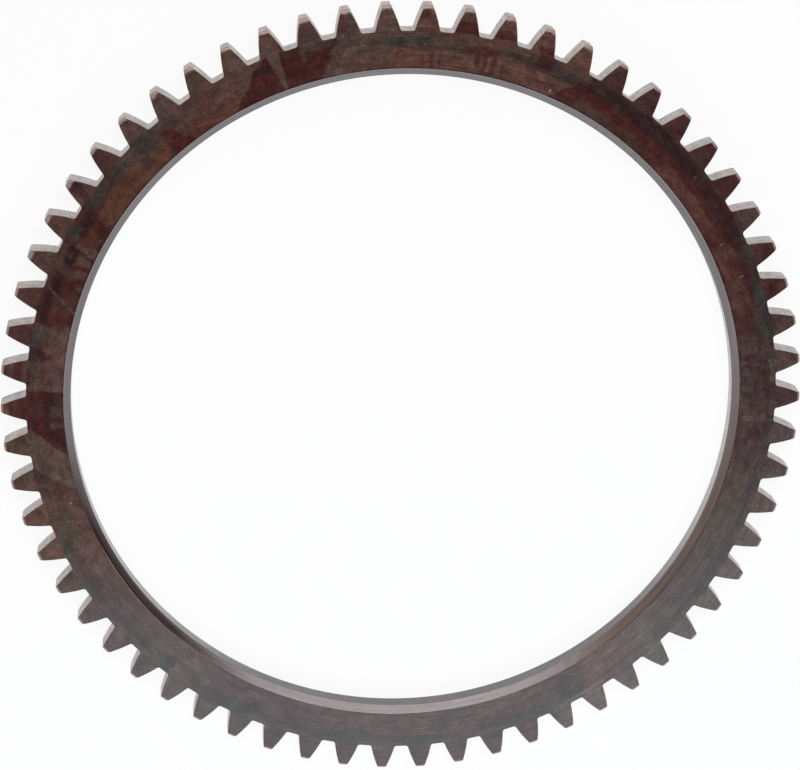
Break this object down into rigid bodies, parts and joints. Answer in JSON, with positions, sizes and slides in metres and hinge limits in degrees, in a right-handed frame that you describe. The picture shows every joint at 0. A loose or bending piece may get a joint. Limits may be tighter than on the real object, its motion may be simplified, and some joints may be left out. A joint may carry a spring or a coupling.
{
  "type": "starter ring gear",
  "caption": "Flat steel starter ring gear with straight involute teeth round its rim and a chamfered bore that presses onto a flywheel or clutch drum.",
  "frame": {"origin": "centre of the bore in the plane of the rear face, on which the ring lies", "axes": "+Z along the gear axis towards the chamfered front face, +X through the middle of a tooth"},
  "size_m": [0.2032, 0.203, 0.0063],
  "materials": {
    "gear_steel": "faces dark brown-red with an oily oxide film and a darker heat band under the teeth, flanks and bore bare turned metal"
  },
  "bodies": {
    "root": {"ring_gear": "gear_steel"}
  },
  "joints": []
}
